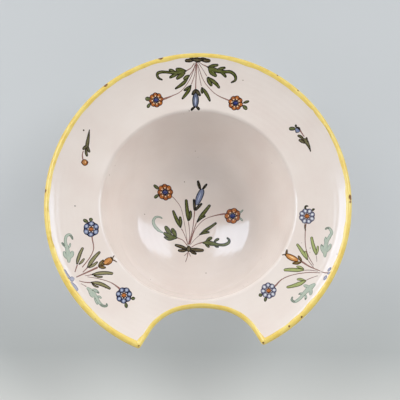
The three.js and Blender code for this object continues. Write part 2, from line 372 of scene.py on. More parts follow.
def material(name):
    """A new material, its node tree and its Principled shader, with the IOR of glaze, clay and paper."""
    made = bpy.data.materials.new(name)
    made.use_nodes = True
    shader = made.node_tree.nodes["Principled BSDF"]
    shader.inputs["IOR"].default_value = 1.5
    return made, made.node_tree, shader


def tin_glaze():
    """Opaque tin glaze over buff clay: soft gloss, IOR 1.5, faint pink-white clouds 40 mm wide, throwing
    rings 5 mm apart showing through, ripple of the dipped glaze 3 mm apart and few dark pinholes."""
    made, tree, shader = material("tin glaze, glossy fired")
    place = node(tree, "TexCoord").outputs["Object"]
    cloud = node(tree, "TexNoise", {"Vector": place}, in_Scale=26.0, in_Detail=3.0, in_Roughness=0.5)
    whites = [(0.30, TIN_WHITE[1]), (0.72, TIN_WHITE[2]), (0.50, TIN_WHITE[0])]
    tint = node(tree, "ValToRGB", {0: cloud}, whites)
    cell = node(tree, "TexVoronoi", {"Vector": place}, in_Scale=170.0, in_Randomness=1.0)
    dot = node(tree, "ValToRGB", {0: cell}, [(0.05, 1.0), (0.11, 0.0)])
    where = node(tree, "TexNoise", {"Vector": place}, in_Scale=55.0, in_Detail=1.0)
    few = node(tree, "ValToRGB", {0: where}, [(0.66, 0.0), (0.70, 1.0)])
    pit = node(tree, "Math", {0: dot, 1: few}, operation="MULTIPLY")
    body = node(tree, "MixRGB", {"Fac": pit, "Color1": tint}, in_Color2=linear("#8C7768"))
    gloss = node(tree, "MapRange", {"Value": cloud}, in_3=0.09, in_4=0.13)
    along = node(tree, "Attribute", attribute_name="from_middle").outputs["Fac"]
    wobble = node(tree, "TexNoise", {"Vector": place}, in_Scale=14.0, in_Detail=2.0)
    shifted = node(tree, "Math", {0: wobble, 2: along}, operation="MULTIPLY_ADD", in_1=5.0)
    phase = node(tree, "Math", {0: shifted}, operation="MULTIPLY", in_1=2 * np.pi / 5.0)
    rings = node(tree, "Math", {0: phase}, operation="SINE")
    ripple = node(tree, "TexNoise", {"Vector": place}, in_Scale=330.0, in_Detail=1.0)
    swell = node(tree, "TexNoise", {"Vector": place}, in_Scale=60.0, in_Detail=1.0)
    relief = node(tree, "Bump", {"Height": rings}, in_Distance=0.000012)
    relief = node(tree, "Bump", {"Height": ripple, "Normal": relief}, in_Distance=0.00003)
    relief = node(tree, "Bump", {"Height": swell, "Normal": relief}, in_Distance=0.00012)
    relief = node(tree, "Bump", {"Height": pit, "Normal": relief}, in_Distance=0.0002, invert=True)
    feed(tree, shader, {"Base Color": body, "Roughness": gloss, "Normal": relief})
    return made


def read(items, field, width=1, kind=float):
    """One field of all items of a mesh as an array, with a row of width values for each."""
    values = np.empty(width * len(items), kind)
    items.foreach_get(field, values)
    return values.reshape(-1, width)


def coat(piece, finish):
    """Gives a piece its finish and its own flat map, drawn from above: faces that look up on the left,
    faces that look down on the right, each layer of paint in its own row, so that nothing is covered."""
    mesh = piece.data
    mesh.materials.append(finish)
    corner = read(mesh.loops, "vertex_index", kind=int)[:, 0]
    at = read(mesh.vertices, "co", 3)[:, :2]
    sides = read(mesh.polygons, "loop_total", kind=int)[:, 0]
    down = np.repeat(read(mesh.polygons, "normal", 3)[:, 2] < 0, sides)
    layer = np.zeros(len(at))
    if "layer" in mesh.attributes:
        layer = read(mesh.attributes["layer"].data, "value")[:, 0]
    rows = layer.max() + 1
    uv = 0.01 + 0.98 * (at - at.min(0)) / (at.max(0) - at.min(0))
    uv = np.stack([uv[corner, 0] + down, uv[corner, 1] + layer[corner]], -1) / [2, rows]
    sheet = mesh.uv_layers.new(name="OFBake")
    sheet.data.foreach_set("uv", uv.astype(np.float32).ravel())


lines = dish_lines()
steps = np.linalg.norm(np.diff(lines, axis=0), axis=2)
from_middle = np.concatenate([np.zeros((1, lines.shape[1])), np.cumsum(steps, axis=0)])
dish = lofted("glazed_dish", lines, marks={"from_middle": from_middle.ravel()})
coat(dish, tin_glaze())
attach(dish, "root")
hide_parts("dish")

# The lip is the same clay, its rounded edge brushed with opaque yellow antimony enamel 0.1 mm thick
# over rim, horns and notch. The brushed border wavers by up to 0.8 mm, ochre shows where it is
# thin, and knocks have flaked it off the clay in eighteen small chips.
ENAMEL = 0.10
BORDER = 2.2
YELLOW = ["#EFD573", "#E8C75F", "#F3DE88"]
BARE_CLAY = ["#5F3F28", "#94683F"]
CHIPS = np.array([
    (-34.1, 130.1, 82.9, 2.5, 1.00), (-83.1, 103.2, 82.9, 2.1, 0.90), (133.0, 1.4, 81.8, 2.0, 0.80),
    (132.8, -5.5, 81.7, 2.0, 0.80), (-134.4, 3.7, 82.0, 1.8, 1.00), (62.8, 119.8, 82.9, 1.4, 0.80),
    (71.7, 114.0, 82.9, 1.2, 0.80), (89.5, 99.8, 82.9, 1.2, 0.80), (101.6, 79.9, 82.7, 1.3, 0.80),
    (133.1, -1.8, 81.6, 2.0, 1.00), (89.1, -108.5, 82.9, 1.4, 0.80), (-80.1, -119.8, 82.9, 1.5, 0.80),
    (-75.3, -124.0, 82.4, 1.3, 0.75), (-88.0, -110.6, 82.6, 1.3, 0.75), (78.3, -116.4, 82.8, 1.3, 0.75),
    (-50.9, -133.8, 82.0, 1.3, 0.80), (55.8, -130.7, 82.0, 1.2, 0.80), (5.0, -97.1, 79.5, 1.2, 0.60),
])


def waver(seed, count, waves):
    """A smooth closed curve of count values, mostly within -1 to 1 with peaks to about 2: a sum of
    sines with seeded phases and strengths."""
    rng = np.random.default_rng(seed)
    turn = np.linspace(0, 2 * np.pi, count, endpoint=False)[:, None]
    order = np.arange(3, 3 + waves)
    swing = np.sin(order * turn + rng.uniform(0, 2 * np.pi, waves)) * rng.normal(0, 1, waves)
    return swing.sum(1) / waves ** 0.5


def border_line(section, inset, lift, low_limit=None):
    """A line inset mm inside the edge that may waver, on the straights through the lines 1.2 and
    4.2 mm inside."""
    first, second = 1.2, 4.2
    near, far = face_line(first, section, lift), face_line(second, section, lift)
    line = near + ((inset - first) / (second - first))[:, None] * (far - near)
    if low_limit is not None:
        line[:, 2] = np.maximum(line[:, 2], EDGE_HEIGHT - low_limit)
    return line


# The enamel reaches less far in along the notch, from 8 mm inside the rim on
IN_NOTCH = np.clip((RIM - NOSE - true_plan(*EDGE.T)[2]) / 8.0, 0, 1)
BORDER_WAVER = 0.28 * waver(4, len(EDGE), 60) + 0.25 * waver(9, len(EDGE), 8)
TOP_BORDER = BORDER - 1.4 * IN_NOTCH + (1 - 0.65 * IN_NOTCH) * BORDER_WAVER
UNDER_BORDER = BORDER + BORDER_WAVER


def lip_lines():
    """Lines round the lip: in from the border over the nose to the lower border, and back inside."""
    rise = ((0.10, -0.22), (0.0, 0.0), (-0.25, 0.07))
    upper = [border_line(INSIDE, TOP_BORDER + extra, lift) for extra, lift in rise]
    upper += [border_line(INSIDE, 0.41 * TOP_BORDER, ENAMEL)]
    outer = [nose(NOSE + ENAMEL, angle) for angle in np.linspace(90, -90, 19)]
    limit = NOSE + ENAMEL
    lower = [border_line(OUTSIDE, UNDER_BORDER - 0.9, -ENAMEL, limit),
             border_line(OUTSIDE, UNDER_BORDER, 0.0, limit),
             border_line(OUTSIDE, UNDER_BORDER + 0.1, 0.3, limit - 0.3)]
    back = [nose(NOSE - 0.4, angle) for angle in np.linspace(-90, 90, 9)]
    return np.stack(upper + outer + lower + back)


def chipped(lines):
    """Presses the chips into the edge. The clay is bare by depth times 1.35 - distance / radius, held
    between 0 and 1.2, and is pressed inwards by 0.45 mm times bare - 0.3, held between 0 and 0.7."""
    bare = np.zeros(lines.shape[:2])
    for x, y, z, radius, depth in CHIPS:
        away = np.linalg.norm(lines - [x, y, z], axis=2) / radius
        bare = np.maximum(bare, np.clip(1.35 - away, 0, 1.2) * depth)
    middle = np.column_stack([EDGE, EDGE_HEIGHT])
    inward = middle[None] - lines
    inward /= np.linalg.norm(inward, axis=2)[..., None] + 1e-9
    return lines + 0.45 * np.clip(bare - 0.3, 0, 0.7)[..., None] * inward, bare


def yellow_enamel():
    """Opaque antimony yellow: glossy, slightly softer than the tin glaze, brushed, so that its strength
    varies over 12 mm, with ochre where thin, and rough brown clay in the chips."""
    made, tree, shader = material("yellow enamel, brushed and fired")
    place = node(tree, "TexCoord").outputs["Object"]
    cloud = node(tree, "TexNoise", {"Vector": place}, in_Scale=85.0, in_Detail=3.0, in_Roughness=0.6)
    tint = node(tree, "ValToRGB", {0: cloud}, [(0.32, YELLOW[1]), (0.75, YELLOW[2]), (0.5, YELLOW[0])])
    bare = node(tree, "Attribute", attribute_name="bare").outputs["Fac"]
    grit = node(tree, "TexNoise", {"Vector": place}, in_Scale=900.0, in_Detail=3.0)
    ragged = node(tree, "Math", {0: grit, 2: bare}, operation="MULTIPLY_ADD", in_1=0.5)
    chip = node(tree, "ValToRGB", {0: ragged}, [(0.60, 0.0), (0.68, 1.0)])
    clay = node(tree, "ValToRGB", {0: grit}, [(0.35, BARE_CLAY[0]), (0.65, BARE_CLAY[1])])
    body = node(tree, "MixRGB", {"Fac": chip, "Color1": tint, "Color2": clay})
    gloss = node(tree, "MapRange", {"Value": chip}, in_3=0.2, in_4=0.8)
    ripple = node(tree, "TexNoise", {"Vector": place}, in_Scale=260.0, in_Detail=2.0)
    relief = node(tree, "Bump", {"Height": ripple}, in_Distance=0.00008)
    relief = node(tree, "Bump", {"Height": grit, "Normal": relief, "Strength": chip}, in_Distance=0.0003)
    feed(tree, shader, {"Base Color": body, "Roughness": gloss, "Normal": relief})
    return made


lines, bare = chipped(lip_lines())
lip = lofted("yellow_lip", lines, ring=True, marks={"bare": bare.ravel()})
coat(lip, yellow_enamel())
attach(lip, "root")
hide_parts("lip_band")

# The foot is a ring of the same clay, luted on and turned: 106 mm across, 8 mm high and tapered. The
# glaze runs down its sides and was wiped off the standing edge, where the buff clay is bare and rubbed.
FOOT = (53.0, 43.5, 8.0, 1.5, 1.2)
FOOT_CLAY = ["#CDB394", "#B99775", "#DCC6A8"]


def foot_lines():
    """A ring turned from one section: sides that taper in by 1.5 mm each, edges rounded to 1.2 mm."""
    outer, inner, high, taper, soft = FOOT
    out_r, in_r = outer - taper - soft, inner + taper + soft
    a = np.radians(np.linspace(0, 90, 8))
    side = np.linspace(high + 0.2, soft, 8)
    section = np.concatenate([
        np.stack([outer - taper * (high - side) / (high - soft), side], -1),
        np.stack([out_r + soft * np.cos(a), soft - soft * np.sin(a)], -1)[1:],
        np.stack([np.linspace(out_r, in_r, 6), np.zeros(6)], -1)[1:-1],
        np.stack([in_r - soft * np.sin(a), soft - soft * np.cos(a)], -1),
        np.stack([inner + taper * (high - side) / (high - soft), side], -1)[::-1][1:],
    ])
    turn = np.linspace(0, 2 * np.pi, 240, endpoint=False)
    r, z = section[:, 0][:, None], section[:, 1][:, None]
    return settled(r * np.cos(turn), r * np.sin(turn), z)


def foot_clay():
    """Buff earthenware, fine sand 0.4 mm apart, rubbed on the standing edge; above 2 mm, along an
    uneven line, the tin glaze begins."""
    made, tree, shader = material("buff earthenware, wiped foot")
    place = node(tree, "TexCoord").outputs["Object"]
    high = node(tree, "SeparateXYZ", {0: place}).outputs["Z"]
    waver_node = node(tree, "TexNoise", {"Vector": place}, in_Scale=70.0, in_Detail=3.0)
    uneven = node(tree, "Math", {0: waver_node, 2: high}, operation="MULTIPLY_ADD", in_1=0.003)
    glazed = node(tree, "ValToRGB", {0: node(tree, "Math", {0: uneven}, operation="MULTIPLY", in_1=100.0)},
                  [(0.30, 0.0), (0.34, 1.0)])
    sand = node(tree, "TexNoise", {"Vector": place}, in_Scale=1200.0, in_Detail=3.0)
    stain = node(tree, "TexNoise", {"Vector": place}, in_Scale=90.0, in_Detail=4.0)
    buffs = [(0.3, FOOT_CLAY[1]), (0.72, FOOT_CLAY[2]), (0.5, FOOT_CLAY[0])]
    clay = node(tree, "ValToRGB", {0: stain}, buffs)
    speck = node(tree, "MixRGB", {"Fac": sand, "Color1": clay}, in_Color2=linear("#A5825F"))
    body = node(tree, "MixRGB", {"Fac": glazed, "Color1": speck}, in_Color2=linear(TIN_WHITE[1]))
    gloss = node(tree, "MapRange", {"Value": glazed}, in_3=0.75, in_4=0.2)
    relief = node(tree, "Bump", {"Height": sand}, in_Distance=0.00006)
    feed(tree, shader, {"Base Color": body, "Roughness": gloss, "Normal": relief})
    return made


foot = lofted("turned_foot", foot_lines(), ring=True)
coat(foot, foot_clay())
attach(foot, "root")
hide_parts("foot_ring")

# The flowers are painted by hand over the glaze in fired colours: a thin dark line, filled with
# watery copper green, cobalt blue or iron orange, on stems of one thin manganese stroke. Fired
# colour stands 0.035 to 0.14 mm proud of the glaze, so each stroke is a low lens with tapered ends.

# Strokes are (x, y, half width) in mm from the bowl's turned axis. Pigments are line, fill, line
# width in mm and the layer that the stroke is painted in.
PIGMENTS = {
    "stem": ("#6A403B", "#8A5C56", 0.20, 0),
    "dark leaf": ("#1E1608", "#4A3C20", 0.90, 1),
    "deep leaf": ("#221B0C", "#525A1C", 0.85, 1),
    "deep lobe": ("#191407", "#585E22", 0.85, 2),
    "leaf": ("#31271A", "#8A8660", 0.78, 1),
    "leaf lobe": ("#31271A", "#908C68", 0.64, 2),
    "fresh leaf": ("#4A4820", "#A2AE70", 0.66, 1),
    "fresh lobe": ("#4A4820", "#A8B478", 0.56, 2),
    "small leaf": ("#24200F", "#5C643A", 0.80, 1),
    "sprig leaf": ("#2E2414", "#5E5A3A", 0.85, 1),
    # Pale leaves: thin green paint, made paler still by a painted sheen, the glaze's highlight over them.
    "pale leaf with painted sheen": ("#7C8C7E", "#AFBBAF", 0.50, 1),
    "pale tip": ("#5F675C", "#8D978B", 0.50, 2),
    # Violet root leaves: violet paint, made paler by a painted sheen, the glaze's highlight near the rim.
    "violet leaf with painted sheen": ("#6E7088", "#A6A8BC", 0.55, 1),
    "calyx": ("#120C05", "#40361C", 0.95, 2),
    "brown calyx": ("#4A3417", "#7A6638", 0.85, 2),
    # The top spray's bud is the blue bud's paint made darker: painted shade, as the top of the flange lies
    # in shade.
    "blue bud with painted shade": ("#23232B", "#56607E", 1.15, 1),
    "blue bud": ("#34343E", "#7A86AA", 1.05, 1),
    "blue glint": ("#8E99BA", "#B8C2DA", 0.40, 3),
    "orange bud": ("#5E3410", "#CF8C4A", 1.00, 1),
    "small bud": ("#522810", "#A8682E", 1.20, 1),
    "orange glint": ("#E3A768", "#F1D6A4", 0.40, 3),
    "orange petal": ("#3C1406", "#B8641C", 1.30, 2),
    "orange petal back": ("#3C1406", "#A05016", 1.30, 1),
    "orange petal light": ("#D0A070", "#EBD6B4", 0.30, 3),
    "blue petal": ("#1F1B30", "#7C8AB0", 1.60, 2),
    "blue petal back": ("#1F1B30", "#6C7CA6", 1.60, 1),
    "blue petal light": ("#8E98BA", "#B4BBD0", 0.35, 3),
    "pale petal": ("#3E3850", "#A6ABBE", 1.40, 2),
    "pale petal back": ("#3E3850", "#969DB6", 1.40, 1),
    "pale petal light": ("#BFC3D2", "#E0E2E8", 0.35, 3),
    "blue heart": ("#0B0B26", "#28347A", 1.20, 3),
    "orange heart": ("#43200A", "#B4652A", 1.05, 3),
    "speck": ("#3B2B20", "#4A3526", 0.30, 1),
}


def smooth_row(points, count):
    """A smooth curve through the rows of points: on each stretch the cubic that passes through its two
    rows, with the slope at each row half the step between its neighbours."""
    p = np.asarray(points, float)
    p = np.concatenate([2 * p[:1] - p[1:2], p, 2 * p[-1:] - p[-2:-1]])
    u = np.linspace(0, len(p) - 3, count)
    i = np.minimum(u.astype(int), len(p) - 4)
    t = (u - i)[:, None]
    a, b, c, d = p[i], p[i + 1], p[i + 2], p[i + 3]
    bend, twist = 2 * a - 5 * b + 4 * c - d, 3 * b - a - 3 * c + d
    return 0.5 * (2 * b + (c - a) * t + bend * t ** 2 + twist * t ** 3)


# Along a stroke the points are 0.45 mm apart. The film is 0.05 mm thick, and 0.035 mm more for each
# layer. Its edges lie 0.015 mm under the glaze's face and its back, the last two places across, 0.2 mm.
STEP = 0.45
FILM = (0.05, 0.035)
SINK = 0.015
BACK = 0.2
ACROSS = np.array([-1, -0.86, -0.66, -0.42, -0.15, 0.15, 0.42, 0.66, 0.86, 1, 0.5, -0.5])


def stroke(points, line_width, layer, seed):
    """One brush stroke on the glaze: across it a lens, height (1 - v^4), v from -1 to 1; its ends are
    half circles, half width times sqrt(1 - (1 - s / w)^2), s from the end. Returns points, quads, marks."""
    length = np.linalg.norm(np.diff(np.asarray(points)[:, :2], axis=0), axis=1).sum()
    count = int(np.clip(length / STEP, 12, 90))
    row = smooth_row(points, count)
    plan, half = row[:, :2], np.maximum(row[:, 2], 0.05)
    slope = np.gradient(plan, axis=0)
    ahead = slope / np.maximum(np.linalg.norm(slope, axis=1), 1e-9)[:, None]
    s = np.concatenate([[0], np.cumsum(np.linalg.norm(np.diff(plan, axis=0), axis=1))])
    end = np.minimum(s, s[-1] - s)
    cap = np.sqrt(np.maximum(1 - (1 - np.clip(end / np.maximum(half, 0.3), 0, 1)) ** 2, 0))
    face = 1 - ACROSS[:-2] ** 4
    high = np.append((FILM[0] + FILM[1] * layer) * face - SINK, [-BACK, -BACK])
    side = np.stack([-ahead[:, 1], ahead[:, 0]], -1)
    at = plan[:, None] + (half * cap)[:, None, None] * ACROSS[None, :, None] * side[:, None]
    lift = -SINK + cap[:, None] * (high[None] + SINK)
    spots = on_inside(at[..., 0], at[..., 1], lift)
    depth = np.append(1 - np.abs(ACROSS[:-2]), [0, 0])
    inward = depth[None] * (half * cap)[:, None] / line_width
    brush = np.stack(np.broadcast_arrays(s[:, None], half[:, None] * ACROSS[None], np.float64(seed)), -1)
    return spots.reshape(-1, 3), net(count, len(ACROSS)), inward.ravel(), brush.reshape(-1, 3)


def flower(x, y, radius, kind, petals, turn):
    """Strokes of an open flower: petals 1.12 radius sin(pi / petals) in half width, so that they overlap
    round the heart, every second one under its neighbours, a pale dash on each, and a ringed heart."""
    strokes = {f"{kind} petal": [], f"{kind} petal back": [], f"{kind} petal light": []}
    fat = 1.12 * radius * np.sin(np.pi / petals)
    dash = (0.40, 0.50, 0.60) if kind == "orange" else (0.50, 0.66, 0.80)
    for k in range(petals):
        a = turn + 2 * np.pi * k / petals
        for pigment, reach, widths in (
            ("petal" if k % 2 else "petal back", (0.30, 0.52, 0.74, 0.98), (0.50, 0.90, 1.0, 0.80)),
            ("petal light", dash, (0.26, 0.32, 0.22)),
        ):
            out = np.array(reach) * radius
            rows = np.column_stack([x + out * np.cos(a), y + out * np.sin(a), np.array(widths) * fat])
            strokes[f"{kind} {pigment}"].append(rows)
    heart = "blue heart" if kind == "orange" else "orange heart"
    size = radius * (0.37 if kind == "orange" else 0.33)
    strokes[heart] = [np.array([(x - size, y, size * 0.7), (x, y, size), (x + size, y, size * 0.7)])]
    return strokes


def fired_colours():
    """Fired overglaze colours: the line's dark oxide, inside it a watery fill streaked along the
    brush 0.4 mm apart, thinner in places so that the white shows, all glossy as the glaze."""
    made, tree, shader = material("fired overglaze colours")
    brush = node(tree, "Attribute", attribute_name="brush").outputs["Vector"]
    inward = node(tree, "Attribute", attribute_name="inward").outputs["Fac"]
    line = node(tree, "Attribute", attribute_name="line_colour").outputs["Vector"]
    fill = node(tree, "Attribute", attribute_name="fill_colour").outputs["Vector"]
    stretched = node(tree, "Mapping", {0: brush}, in_Scale=(0.35, 2.2, 7.3))
    streak = node(tree, "TexNoise", {"Vector": stretched}, in_Scale=1.0, in_Detail=3.0)
    thin = node(tree, "ValToRGB", {0: streak}, [(0.45, 0.0), (0.80, 0.30)])
    watery = node(tree, "MixRGB", {"Fac": thin, "Color1": fill}, in_Color2=linear("#D6CEA8"))
    pooled = node(tree, "ValToRGB", {0: streak}, [(0.28, 0.45), (0.42, 0.0)])
    filled = node(tree, "MixRGB", {"Fac": pooled, "Color1": watery, "Color2": line})
    ragged = node(tree, "Math", {0: streak, 2: inward}, operation="MULTIPLY_ADD", in_1=0.5)
    inside = node(tree, "ValToRGB", {0: node(tree, "Math", {0: ragged}, operation="MULTIPLY", in_1=0.5)},
                  [(0.54, 0.0), (0.80, 1.0)])
    body = node(tree, "MixRGB", {"Fac": inside, "Color1": line, "Color2": filled})
    shader.inputs["Specular IOR Level"].default_value = 0.22
    gloss = node(tree, "MapRange", {"Value": streak}, in_3=0.17, in_4=0.24)
    relief = node(tree, "Bump", {"Height": streak}, in_Distance=0.00003)
    feed(tree, shader, {"Base Color": body, "Roughness": gloss, "Normal": relief})
    return made


FIRED_COLOURS = fired_colours()


def painted(name, strokes, flowers=()):
    """One spray as one piece: every stroke of every pigment, with its colours as marks on its points."""
    strokes = {pigment: list(rows) for pigment, rows in strokes.items()}
    for bloom in flowers:
        for pigment, rows in flower(*bloom).items():
            strokes.setdefault(pigment, []).extend(rows)
    drawn, count = [], 0
    for pigment, rows in strokes.items():
        line, fill, width, layer = PIGMENTS[pigment]
        for row in rows:
            points, quads, inward, brush = stroke(row, width, layer, len(drawn))
            each = np.ones((len(points), 1))
            colours = [each * linear(colour)[:3] for colour in (line, fill)]
            drawn.append((points, quads + count, inward, brush, *colours, layer * each[:, 0]))
            count += len(points)
    points, quads, *marks = [np.concatenate(column) for column in zip(*drawn)]
    marks = dict(zip(("inward", "brush", "line_colour", "fill_colour", "layer"), marks))
    made = from_arrays(name, points, quads, marks)
    coat(made, FIRED_COLOURS)
    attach(made, "root")


# The spray opposite the notch hangs from the rim: acanthus leaves, a blue bud, two orange flowers.
TOP = {
    "stem": [
        [(-4.8, 126.1, 0.38), (-7.6, 122.1, 0.38), (-11.6, 119.7, 0.52)],
        [(-3.8, 126.1, 0.3), (-5.4, 121.2, 0.3), (-8.6, 115.9, 0.45)],
        [(-3.3, 125.7, 0.3), (-4.3, 116.7, 0.3), (-7, 108.3, 0.38)],
        [(-2.8, 126.6, 0.6), (-2.9, 115.8, 0.45), (-3.1, 104.3, 0.52)],
        [(-2.3, 125.7, 0.22), (-0.5, 117.2, 0.22), (2.1, 106.9, 0.3)],
        [(-1.3, 126.2, 0.3), (3.2, 120.4, 0.22), (6.9, 115.1, 0.38)],
        [(-0.8, 127, 0.3), (2.5, 124.8, 0.3), (6.9, 123.1, 0.6)],
        [(-3.7, 124.8, 0.3), (-8.3, 112.9, 0.3), (-15.9, 102.6, 0.3), (-23, 98.6, 0.45),
         (-30.7, 95.5, 0.98), (-32.9, 95.1, 0.98)],
        [(-1.7, 124.8, 0.3), (3.7, 112.1, 0.3), (10.9, 103.6, 0.3), (17.5, 98.6, 0.38), (26, 94.9, 0.6),
         (27.8, 94.2, 0.6)],
    ],
    "dark leaf": [
        [(-4.8, 128.1, 0.56), (-8.9, 127.9, 1.68), (-13.7, 127.6, 1.26)],
        [(0.1, 128.5, 0.56), (5.2, 128, 1.82), (9.9, 127.7, 1.26)],
        [(-3.9, 128.9, 0.56), (-7.1, 129.2, 1.26), (-9.9, 129.1, 0.7)],
        [(-1.4, 129.1, 0.56), (2.6, 129.3, 1.26), (6.3, 129.1, 0.7)],
        [(-3.4, 129.7, 1.26), (-2.4, 128.3, 1.68), (-2.6, 127, 0.98)],
    ],
    "deep leaf": [
        [(-11.1, 119.8, 0.38), (-16, 118.3, 1.66), (-22.5, 117.7, 1.66), (-28.6, 117.9, 1.28),
         (-34.6, 117.8, 1.41), (-37.9, 116.2, 1.41), (-36.9, 113, 1.22), (-32.8, 111.3, 0.64)],
        [(-12.1, 119.6, 0.64), (-17.1, 119.9, 2.18), (-21.8, 120.7, 1.28)],
        [(-21.6, 118.6, 0.64), (-24.8, 119.4, 1.41), (-28, 119.9, 1.02)],
        [(-12.5, 118.4, 0.77), (-16.3, 116, 2.18), (-20.9, 112.3, 1.28)],
        [(-18.5, 117.1, 0.77), (-23, 115.5, 1.66), (-27.2, 113.2, 1.02)],
        [(6.3, 123.2, 0.38), (11.4, 121.1, 2.05), (17, 119.4, 1.92), (22.5, 118.8, 1.54),
         (28, 118.5, 1.54), (32, 115.5, 1.54), (32.4, 111.8, 1.28), (28.2, 109.5, 0.64)],
        [(7.6, 122.9, 0.64), (11.8, 123.8, 1.54), (17.1, 124.4, 1.02)],
        [(15.4, 120.5, 0.64), (19.4, 121.4, 1.54), (23.6, 122.2, 0.9)],
        [(7.9, 122, 0.77), (11, 118.5, 2.3), (15.8, 114.9, 1.28)],
        [(18, 118.9, 0.77), (21.5, 117.1, 1.54), (24.4, 114, 1.02)],
        [(-9.4, 114.9, 0.51), (-13.3, 110.1, 1.66), (-17.2, 107, 1.54), (-21.9, 104, 0.77)],
        [(-7, 108.3, 0.51), (-9.1, 103.5, 1.66), (-12.2, 99.1, 1.54), (-15.3, 95.2, 0.9)],
        [(7.2, 114.7, 0.64), (11.7, 111.6, 1.79), (15.8, 108.4, 1.66), (18.6, 104.9, 1.02)],
        [(2, 106.3, 0.51), (5.4, 102.2, 1.66), (8.2, 97.9, 1.54), (10.3, 93.4, 0.9)],
    ],
    "deep lobe": [
        [(-8.4, 116.1, 0.56), (-11.4, 114.3, 1.83), (-14.5, 112.4, 1.12)],
        [(-7.4, 107.5, 0.56), (-10.6, 104.9, 1.4), (-13.9, 102.7, 0.84)],
        [(7, 114.5, 0.7), (8.9, 110.7, 1.83), (11.8, 106.9, 1.26)],
        [(2.2, 105.5, 0.56), (2.5, 102.9, 1.26), (3.2, 100.2, 0.98)],
    ],
    # The same blue as the other buds, darker here as painted shade for the top of the flange.
    "blue bud with painted shade": [
        [(-3, 101.2, 1.84), (-2.9, 96.8, 3.1), (-2.9, 92.4, 3.1), (-3, 87.7, 1.84)],
    ],
    "blue glint": [
        [(-3.1, 97.8, 0.3), (-2.9, 94.4, 0.8), (-2.9, 89.9, 0.4)],
    ],
    "calyx": [
        [(-8.4, 128.4, 0.6), (-4.9, 128.7, 1.56), (-2.4, 128.3, 2.28), (0.6, 128.5, 1.56),
         (4.2, 128.6, 0.6)],
        [(-3.1, 104.5, 0.6), (-4.2, 101.8, 1.92), (-6.6, 99.2, 0.72)],
        [(-3.1, 104.5, 0.6), (-1.2, 101.7, 1.92), (1.7, 98.3, 0.84)],
        [(-3, 89.4, 0.72), (-4.8, 87.7, 1.2), (-7.1, 85.6, 0.96)],
        [(-2.6, 89.4, 0.72), (-0.8, 87.9, 1.32), (0.9, 86.1, 1.08)],
    ],
    "small leaf": [
        [(-42.9, 94.9, 0.75), (-45.7, 94.8, 2), (-48.5, 95.1, 1.5)],
        [(-43.3, 91.2, 0.62), (-44.9, 89, 1.62), (-46.1, 86.8, 1)],
        [(39.4, 91.9, 0.5), (42.4, 92.8, 1.38), (45.3, 93.7, 0.88)],
        [(39, 90, 0.62), (41.2, 88.3, 1.88), (43.4, 86, 1.38)],
    ],
}
painted("spray_top", TOP, [
    (-38.4, 94.1, 6.9, "orange", 8, 0.2),
    (33.0, 92.1, 7.0, "orange", 8, 0.5),
])

